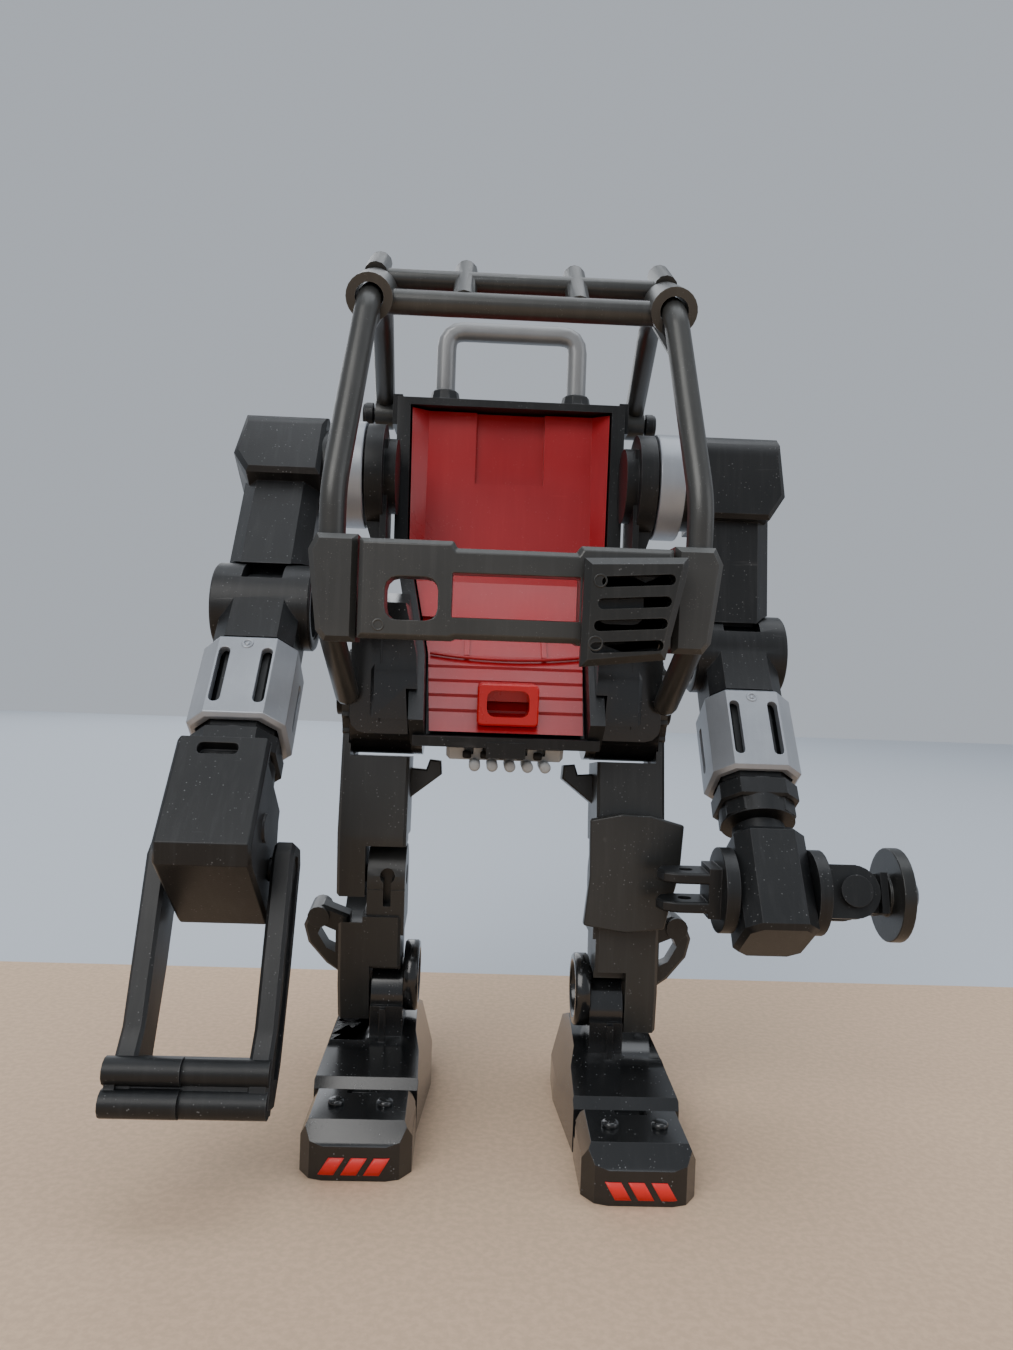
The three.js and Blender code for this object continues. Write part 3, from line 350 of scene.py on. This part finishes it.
softShade = smoothingGroup(34)
crispShade = smoothingGroup(9)  # keeps the shallow folds of the seat
crispParts = ("seat_insert",)
roundParts = ("roof_rack", "grab_handle")
edgeRadius = {
    "seat_frame": 0.35, "seat_insert": 0.3, "bumper": 0.45, "grille_panel": 0.35, "underbody": 0.3,
    "back_shell": 0.6, "knee_shield": 0.3, "back_screw": 0.1, "tool_": 0.25, "roller": 0.2, "pin": 0.15,
    "foot_shell": 0.5, "toe_cap": 0.6, "hip_cover": 0.5, "cage_side": 0.3, "gripper_jaw": 0.35,
    "upper_arm": 0.45, "gripper_cover": 0.6, "forearm_sleeve": 0.25, "shoulder_ring": 0.25,
}


softening = {
    "weldDistance": 0.002, "flatAngle": 0.6, "steps": 3, "fromAngle": 35, "roundFromAngle": 70,
    "faceWeight": 90, "otherRadius": 0.3,
}


def softenEdges(piece, radius, fromAngle=softening["fromAngle"], shading=softShade):
    weld = piece.modifiers.new("weld", "WELD")
    weld.merge_threshold = softening["weldDistance"] * mm
    flatten = piece.modifiers.new("flatten", "DECIMATE")
    flatten.decimate_type = "DISSOLVE"
    flatten.angle_limit = math.radians(softening["flatAngle"])
    rounding = piece.modifiers.new("round", "BEVEL")
    rounding.width = radius * mm
    rounding.segments = softening["steps"]
    rounding.limit_method = "ANGLE"
    rounding.angle_limit = math.radians(fromAngle)
    rounding.use_clamp_overlap = True
    rounding.miter_outer = "MITER_ARC"
    shade = piece.modifiers.new("shade", "NODES")
    shade.node_group = shading
    even = piece.modifiers.new("even", "WEIGHTED_NORMAL")
    even.keep_sharp = True
    even.weight = softening["faceWeight"]


finishOfNode = [
    ("seat_insert", "seatRed"), ("seat_socket", "brightRed"), ("underbody", "lightGrey"),
    ("grab_handle", "handleGrey"), ("back_screw", "zinc"), ("cage_side", "gunmetal"),
    ("roof_rack", "gunmetal"),
    ("bumper", "gunmetal"), ("grille", "grilleBlack"), ("thigh", "legGrey"), ("shin", "legGrey"),
    ("knee_shield", "legGrey"), ("forearm_sleeve", "silver"), ("shoulder_ring", "silver"),
    ("hip_cover", "glossBlack"), ("foot_shell", "glossBlack"), ("toe_cap", "glossBlack"),
    ("roller_flange", "grilleBlack"), ("", "blackPlastic"),
]


def dressNodes():
    for name, node in nodes.items():
        finish = next(value for start, value in finishOfNode if name.startswith(start))
        node.data.materials.clear()
        node.data.materials.append(finishes[finish])
        radii = (value for part, value in edgeRadius.items() if part in name)
        radius = next(radii, softening["otherRadius"])
        shading = crispShade if name in crispParts else softShade
        fromAngle = softening["roundFromAngle" if name in roundParts else "fromAngle"]
        softenEdges(node, radius, fromAngle, shading)
    print("frame parts dressed:", len(nodes))


# tools for the small fittings

def placePiece(name, mesh, body, finish, edge=None):
    piece = bpy.data.objects.new(name, mesh)
    bpy.context.scene.collection.objects.link(piece)
    piece.data.materials.append(finishes[finish])
    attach(piece, body)
    if edge:
        softenEdges(piece, edge)
    return piece


def meshFrom(bm, name):
    bmesh.ops.remove_doubles(bm, verts=bm.verts, dist=0.0005 * mm)
    bmesh.ops.recalc_face_normals(bm, faces=bm.faces)
    mesh = bpy.data.meshes.new(name)
    bm.to_mesh(mesh)
    bm.free()
    for polygon in mesh.polygons:
        polygon.use_smooth = True
    return mesh


def axisTurn(axis):
    # takes +Z to the named axis
    turns = {
        "x": Matrix.Rotation(math.pi / 2, 4, "Y"), "y": Matrix.Rotation(-math.pi / 2, 4, "X"),
        "z": Matrix.Identity(4), "-x": Matrix.Rotation(-math.pi / 2, 4, "Y"),
        "-y": Matrix.Rotation(math.pi / 2, 4, "X"), "-z": Matrix.Rotation(math.pi, 4, "X"),
    }
    return turns[axis]


def turned(name, profile, centre, axis, sides=48):
    # a lathe piece: profile is (radius, height) in millimetres, from the axis out and back to it
    bm = bmesh.new()
    rings = []
    for radius, height in profile:
        if radius == 0:
            rings.append([bm.verts.new((0, 0, height * mm))])
            continue
        ring = []
        for i in range(sides):
            a = 2 * math.pi * i / sides
            ring.append(bm.verts.new((radius * mm * math.cos(a), radius * mm * math.sin(a), height * mm)))
        rings.append(ring)
    closed = rings[0] if len(rings[0]) > 1 else None
    pairs = list(zip(rings, rings[1:]))
    if closed and len(rings[-1]) > 1:
        pairs.append((rings[-1], rings[0]))
    for low, high in pairs:
        for i in range(sides):
            j = (i + 1) % sides
            corners = [low[i % len(low)], low[j % len(low)], high[j % len(high)], high[i % len(high)]]
            unique = []
            for corner in corners:
                if corner not in unique:
                    unique.append(corner)
            if len(unique) > 2:
                bm.faces.new(unique)
    bm.transform(Matrix.Translation(centre) @ axisTurn(axis))
    return meshFrom(bm, name)


def prism(name, outline, thickness, place):
    # outline in millimetres on the XY plane, made solid along +Z, then placed by a matrix
    bm = bmesh.new()
    low = [bm.verts.new((x * mm, y * mm, 0)) for x, y in outline]
    high = [bm.verts.new((x * mm, y * mm, thickness * mm)) for x, y in outline]
    bm.faces.new(low)
    bm.faces.new(high)
    for i in range(len(low)):
        j = (i + 1) % len(low)
        bm.faces.new((low[i], low[j], high[j], high[i]))
    bm.transform(place)
    return meshFrom(bm, name)


def bead(name, points, radius, body, finish, sides=4):
    # a thin moulded line along a smooth path
    curve = bpy.data.curves.new(name, "CURVE")
    curve.dimensions = "3D"
    curve.bevel_depth = radius * mm
    curve.bevel_resolution = sides
    curve.use_fill_caps = True
    line = curve.splines.new("POLY")
    line.points.add(len(points) - 1)
    for point, place in zip(line.points, points):
        point.co = (*place, 1)
    piece = bpy.data.objects.new(name, curve)
    bpy.context.scene.collection.objects.link(piece)
    curve.materials.append(finishes[finish])
    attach(piece, body)
    return piece


def facing(direction, centre):
    # puts a flat outline upright on a wall that looks along the named direction
    turns = {
        "front": Matrix.Rotation(math.pi / 2, 4, "X"),
        "back": Matrix.Rotation(math.pi, 4, "Z") @ Matrix.Rotation(math.pi / 2, 4, "X"),
    }
    return Matrix.Translation(centre) @ turns[direction]


def roundedBox(width, height, radius, steps=5):
    points = []
    for cx, cy, start in ((1, 1, 0), (-1, 1, 90), (-1, -1, 180), (1, -1, 270)):
        for i in range(steps + 1):
            a = math.radians(start + 90 * i / steps)
            x = cx * (width / 2 - radius) + radius * math.cos(a)
            y = cy * (height / 2 - radius) + radius * math.sin(a)
            points.append((x, y))
    return points


def ringProfile(outer, inner, low, high, soft=0.2):
    return [
        (inner, low + soft), (inner + soft, low), (outer - soft, low), (outer, low + soft),
        (outer, high - soft), (outer - soft, high), (inner + soft, high), (inner, high - soft),
    ]


def domeProfile(radius, height, soft=0.25):
    return [
        (0, 0), (radius, 0), (radius, height - soft), (radius - soft, height - 0.05),
        (radius * 0.5, height), (0, height),
    ]


# torso fittings

seatTrim = {
    "panLine": {"halfWidth": 13.58, "y": -12.6, "z": 77.2, "sag": 1.5, "radius": 0.32, "steps": 20,
                "sagForward": 0.8, "sagDown": 0.55},
}


def seatDetails():
    line = seatTrim["panLine"]
    points = []
    for i in range(line["steps"] + 1):
        share = 2 * i / line["steps"] - 1
        dip = line["sag"] * (1 - share * share)
        forward, down = dip * line["sagForward"], dip * line["sagDown"]
        points.append(at(line["halfWidth"] * share, line["y"] - forward, line["z"] - down))
    bead("seat_pan_line", points, line["radius"], "torso", "seatRed")


underTrim = {
    "spacing": 2.93, "first": -6.3, "count": 5, "front": -27.85, "top": 61.7,
    "rib": {"radius": 0.95, "length": 6.5, "soft": 0.3, "aside": 1.3, "behind": 5.6, "below": 2.9,
            "sides": 24},
    "slot": {"width": 1.5, "height": 1.3, "corner": 0.4, "rise": 0.25, "below": 1.1},
}


def underDetails():
    # the comb of round ribs under the seat's front lip, with thin near-black patches of painted shade for
    # the dark slot openings
    trim, rib, slot = underTrim, underTrim["rib"], underTrim["slot"]
    for i in range(trim["count"]):
        x, front, top = at(trim["first"] + trim["spacing"] * i, trim["front"], trim["top"])
        root = Vector((x + rib["aside"] * mm, front + rib["behind"] * mm, top - rib["below"] * mm))
        profile = domeProfile(rib["radius"], rib["length"], rib["soft"])
        mesh = turned(f"under_rib_{i + 1}", profile, root, "-y", rib["sides"])
        placePiece(f"under_rib_{i + 1}", mesh, "torso", "lightGrey")
        # a thin near-black patch: painted shade where the slot opening is
        outline = roundedBox(slot["width"], slot["height"], slot["corner"])
        place = facing("front", Vector((x, front, top - slot["below"] * mm)))
        slotShade = prism(f"under_slot_shade_{i + 1}", outline, slot["rise"], place)
        placePiece(f"under_slot_shade_{i + 1}", slotShade, "torso", "paintedHoleShade")


def faceAlong(nodeName, start, way):
    # where a straight line from a point outside meets a part
    node = nodes[nodeName]
    inward = node.matrix_world.inverted()
    found, place, normal, index = node.ray_cast(inward @ start, inward.to_3x3() @ way)
    if not found:
        raise ValueError("no face of " + nodeName)
    return node.matrix_world @ place


handleTrim = {
    "radius": 3.5, "neck": 2.45, "height": 3.4, "flange": 1.1, "shoulder": 1.5, "step": 0.35, "slope": 0.3,
    "tube": 2, "sunk": 0.9, "forward": 0.1, "sides": 10, "edge": 0.15,
}


def handleDetails():
    # collars where the grab handle leaves the seat frame
    trim = handleTrim
    radius, neck, height, step = trim["radius"], trim["neck"], trim["height"], trim["step"]
    low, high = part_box("grab_handle")
    tube = trim["tube"] * mm
    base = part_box("seat_frame")[1].z - trim["sunk"] * mm
    profile = [
        (0, 0), (radius, 0), (radius, trim["flange"]), (radius - step, trim["shoulder"]),
        (neck + step, height - trim["slope"]), (neck, height), (0, height),
    ]
    for word, x in (("right", low.x + tube), ("left", high.x - tube)):
        place = Vector((x, (low.y + high.y) / 2 - trim["forward"] * mm, base))
        collar = turned(f"handle_collar_{word}", profile, place, "z", trim["sides"])
        placePiece(f"handle_collar_{word}", collar, "torso", "blackPlastic", trim["edge"])


screwTrim = {"slot": 2.3, "slotWidth": 0.5, "sunk": 0.06, "rise": 0.1, "count": 4}


def screwDetails():
    # near-black crosses of painted shade for the recessed slots in the back screws
    trim = screwTrim
    long, wide = trim["slot"] / 2, trim["slotWidth"] / 2
    cross = [
        (-long, -wide), (-wide, -wide), (-wide, -long), (wide, -long), (wide, -wide), (long, -wide),
        (long, wide), (wide, wide), (wide, long), (-wide, long), (-wide, wide), (-long, wide),
    ]
    for i in range(1, trim["count"] + 1):
        low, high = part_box(f"back_screw_{i}")
        centre = Vector(((low.x + high.x) / 2, high.y - trim["sunk"] * mm, (low.z + high.z) / 2))
        # a thin near-black cross: painted shade where the slot is sunk into the head
        mesh = prism(f"screw_cross_shade_{i}", cross, trim["rise"], facing("back", centre))
        placePiece(f"screw_cross_shade_{i}", mesh, "torso", "paintedHoleShade")


hipTrim = {"seam": 21.2, "top": 83.6, "bottom": 65.4, "bead": 0.14}


def hipDetails():
    # a mould line down the front of each hip cover
    trim = hipTrim
    for word, side in sideOf.items():
        points = []
        for z in (trim["top"], trim["bottom"]):
            ahead = at(side * trim["seam"], 0, z)
            ahead.y = -1
            points.append(faceAlong(f"hip_cover_{word}", ahead, Vector((0, 1, 0))))
        bead(f"hip_seam_{word}", points, trim["bead"], "torso", "glossBlack")


# cage fittings

cageTrim = {
    "marks": [
        {"on": "grille", "x": 11.6, "z": 88.2, "radius": 1.0},
        {"on": "grille", "x": 11.2, "z": 79.4, "radius": 1.1},
        {"on": "bumper", "x": -19.6, "z": 81, "radius": 0.9},
    ],
    "walls": {"grille": -54.35, "bumper": -50.6},
    "finishes": {"grille": "grilleBlack", "bumper": "gunmetal"},
    "ring": {"width": 0.28, "rise": 0.1, "soft": 0.05, "sides": 28},
    "plug": {"radius": 2.3, "height": 0.9, "soft": 0.3, "sunk": 0.3, "sides": 32},
}


def cageDetails():
    ring, plug = cageTrim["ring"], cageTrim["plug"]
    for i, mark in enumerate(cageTrim["marks"]):
        # a faint round mould mark
        inner, rise = mark["radius"] - ring["width"], ring["rise"]
        profile = ringProfile(mark["radius"], inner, -rise, rise, ring["soft"])
        place = at(mark["x"], cageTrim["walls"][mark["on"]], mark["z"])
        mesh = turned(f"cage_mark_{i + 1}", profile, place, "-y", ring["sides"])
        placePiece(f"cage_mark_{i + 1}", mesh, "roll_cage", cageTrim["finishes"][mark["on"]])
    for word, side in sideOf.items():
        # rounded plugs in the hinge ends
        low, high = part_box(f"cage_pin_{word}")
        outer = Vector((high.x if side > 0 else low.x, (low.y + high.y) / 2, (low.z + high.z) / 2))
        outer.x -= side * plug["sunk"] * mm
        profile = domeProfile(plug["radius"], plug["height"], plug["soft"])
        mesh = turned(f"cage_plug_{word}", profile, outer, "x" if side > 0 else "-x", plug["sides"])
        placePiece(f"cage_plug_{word}", mesh, "torso", "blackPlastic")


# arm fittings

armTrim = {
    "gate": {"outer": 0.95, "inner": 0.55, "low": -0.1, "high": 0.12, "soft": 0.06, "forward": 7,
             "sides": 28},
    "dot": {"radius": 0.4, "height": 0.2, "soft": 0.1, "forward": 6.95, "sides": 20},
    "gateDrop": 14.1,
    "rim": {"outer": 7.1, "inner": 5.3, "low": -0.1, "high": 0.28, "soft": 0.12, "aside": 7.9, "sides": 56},
}


def ringFrom(name, ring, axis):
    profile = ringProfile(ring["outer"], ring["inner"], ring["low"], ring["high"], ring["soft"])
    return turned(name, profile, Vector(), axis, ring["sides"])


def armFrame(word):
    # the lower arm hangs along this line: its elbow, its way down and its forward way
    joints = {joint["name"]: joint for joint in frame["joints"]}
    elbow = Vector(joints[f"elbow_{word}"]["pos_m"])
    upward = Vector(joints[f"wrist_{word}"]["axis"]).normalized()
    across = Vector((1, 0, 0))
    back = upward.cross(across)
    return elbow, Matrix((across, back, upward)).transposed().to_4x4()


def armDetails():
    gate, dot, rim = armTrim["gate"], armTrim["dot"], armTrim["rim"]
    drop = -armTrim["gateDrop"] * mm
    for word in sideOf:
        elbow, turn = armFrame(word)
        place = Matrix.Translation(elbow) @ turn
        body = f"lower_arm_{word}"
        mesh = ringFrom(f"sleeve_gate_{word}", gate, "-y")
        mesh.transform(place @ Matrix.Translation((0, -gate["forward"] * mm, drop)))
        placePiece(f"sleeve_gate_{word}", mesh, body, "silver")
        profile = domeProfile(dot["radius"], dot["height"], dot["soft"])
        mesh = turned(f"sleeve_dot_{word}", profile, Vector(), "-y", dot["sides"])
        mesh.transform(place @ Matrix.Translation((0, -dot["forward"] * mm, drop)))
        placePiece(f"sleeve_dot_{word}", mesh, body, "silver")
        for face, end, axis in ((-1, "in", "-x"), (1, "out", "x")):
            # a raised round rim on each face of the elbow drum
            name = f"elbow_rim_{word}_{end}"
            mesh = ringFrom(name, rim, axis)
            mesh.transform(place @ Matrix.Translation((face * rim["aside"] * mm, 0, 0)))
            placePiece(name, mesh, body, "blackPlastic")


# leg fittings

legTrim = {
    "outer": 6.1, "inner": 4.5, "rise": 2.6, "soft": 0.35, "height": 19.7, "sunk": 0.05,
    "dishOverlap": 0.1, "dishRise": 1.1, "ringSides": 56, "dishSides": 48,
}


def legDetails():
    # a ring with a shallow dish on the inner side of each ankle
    trim = legTrim
    joints = {joint["name"]: Vector(joint["pos_m"]) for joint in frame["joints"] if "pos_m" in joint}
    for word, side in sideOf.items():
        body = f"lower_leg_{word}"
        low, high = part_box(f"shin_{word}")
        inner = low.x if side > 0 else high.x
        place = Vector((inner - side * trim["sunk"] * mm, joints[f"ankle_{word}"].y, trim["height"] * mm))
        axis = "-x" if side > 0 else "x"
        profile = ringProfile(trim["outer"], trim["inner"], 0, trim["rise"], trim["soft"])
        ring = turned(f"ankle_ring_{word}", profile, place, axis, trim["ringSides"])
        placePiece(f"ankle_ring_{word}", ring, body, "glossBlack")
        profile = domeProfile(trim["inner"] + trim["dishOverlap"], trim["dishRise"])
        dish = turned(f"ankle_dish_{word}", profile, place, axis, trim["dishSides"])
        placePiece(f"ankle_dish_{word}", dish, body, "legGrey")


footTrim = {
    "stripe": {"width": 2.3, "slant": 1.5, "height": 2.5, "step": 3.3, "low": 0.9, "rise": 0.14,
               "sunk": 0.06, "columns": 6, "rows": 2, "count": 3},
    "knob": {"radius": 1.25, "height": 1.3, "soft": 0.3, "sunk": 0.4, "aside": 3.7, "behind": 7.2,
             "sides": 32},
    "front": {"flat": 4.6, "sweep": 0.3},
}


def toeFront(x, frontY):
    # the toe cap's front wall, flat in the middle and turned back towards its corners
    reach = abs(x) - footTrim["front"]["flat"]
    return frontY + footTrim["front"]["sweep"] * max(reach, 0)


def stripeMesh(name, number, side, centre, frontY):
    # a thin slanted patch that follows the toe cap's front wall
    stripe = footTrim["stripe"]
    columns, rows = stripe["columns"], stripe["rows"]
    start = (number - 1) * stripe["step"] - stripe["width"] / 2
    bm = bmesh.new()
    grid = []
    for row in range(rows + 1):
        share = row / rows
        lean = -side * stripe["slant"] * (share - 0.5)
        z = (stripe["low"] + stripe["height"] * share) * mm
        line = []
        for column in range(columns + 1):
            x = start + stripe["width"] * column / columns + lean
            for depth in (stripe["sunk"], -stripe["rise"]):
                y = (toeFront(x, frontY) + depth) * mm
                line.append(bm.verts.new((centre + x * mm, y, z)))
        grid.append(line)
    for a, b in zip(grid, grid[1:]):
        for k in range(0, 2 * columns, 2):
            bm.faces.new((a[k + 1], a[k + 3], b[k + 3], b[k + 1]))
            bm.faces.new((a[k], b[k], b[k + 2], a[k + 2]))
    bottom, top = grid[0], grid[-1]
    for k in range(0, 2 * columns, 2):
        bm.faces.new((bottom[k], bottom[k + 2], bottom[k + 3], bottom[k + 1]))
        bm.faces.new((top[k], top[k + 1], top[k + 3], top[k + 2]))
    for a, b in zip(grid, grid[1:]):
        bm.faces.new((a[0], a[1], b[1], b[0]))
        bm.faces.new((a[-2], b[-2], b[-1], a[-1]))
    return meshFrom(bm, name)


def footDetails():
    knob = footTrim["knob"]
    for word, side in sideOf.items():
        low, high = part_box(f"toe_cap_{word}")
        centre = (low.x + high.x) / 2
        profile = domeProfile(knob["radius"], knob["height"], knob["soft"])
        for i, shift in enumerate((-knob["aside"], knob["aside"])):
            above = Vector((centre + shift * mm, low.y + knob["behind"] * mm, 1))
            place = faceAlong(f"toe_cap_{word}", above, Vector((0, 0, -1)))
            place.z -= knob["sunk"] * mm
            mesh = turned(f"toe_knob_{word}_{i + 1}", profile, place, "z", knob["sides"])
            placePiece(f"toe_knob_{word}_{i + 1}", mesh, f"toe_{word}", "glossBlack")
        for i in range(footTrim["stripe"]["count"]):
            name = f"toe_stripe_{word}_{i + 1}"
            mesh = stripeMesh(name, i, side, centre, low.y / mm)
            placePiece(name, mesh, f"toe_{word}", "stripeRed")


# floor

floor = {
    "reach": 0.9, "roughness": 0.8, "speckScale": 900,
    "sheets": {
        "floorBoard": {"near": -0.9, "far": 0.068, "colour": (0.62, 0.44, 0.3), "drop": 0.02,
                       "fibre": 0.12},
        "floorTable": {"near": -0.9, "far": 0.9, "colour": (0.5, 0.54, 0.59), "drop": 0.6, "fibre": 0},
    },
}


def floorFinish(name, sheet):
    material = bpy.data.materials.new(name)
    material.use_nodes = True
    tree = material.node_tree
    shader = tree.nodes["Principled BSDF"]
    where = addNode(tree, "ShaderNodeTexCoord").outputs["Object"]
    speck = rangeNode(tree, noiseNode(tree, where, floor["speckScale"], 4), 0.4, 0.62)
    darker = tuple(c * (1 - sheet["fibre"]) for c in sheet["colour"])
    tree.links.new(blendNode(tree, speck, darker, sheet["colour"]), shader.inputs["Base Color"])
    shader.inputs["Roughness"].default_value = floor["roughness"]
    return material


def makeFloor():
    # a pale board under the robot, and the table it lies on
    reach = floor["reach"]
    for name, sheet in floor["sheets"].items():
        near, far, z = sheet["near"], sheet["far"], -sheet["drop"] * mm
        corners = ((-reach, near, z), (reach, near, z), (reach, far, z), (-reach, far, z))
        bm = bmesh.new()
        bm.faces.new([bm.verts.new(corner) for corner in corners])
        mesh = bpy.data.meshes.new(name)
        bm.to_mesh(mesh)
        bm.free()
        plate = bpy.data.objects.new(name, mesh)
        bpy.context.scene.collection.objects.link(plate)
        mesh.materials.append(floorFinish(name, sheet))


makeCamera()
makeLights()
print("camera and lights placed")
dressNodes()
seatDetails()
underDetails()
handleDetails()
screwDetails()
hipDetails()
print("torso fitted")
cageDetails()
armDetails()
print("cage and arms fitted")
legDetails()
footDetails()
print("legs and feet fitted")
makeFloor()
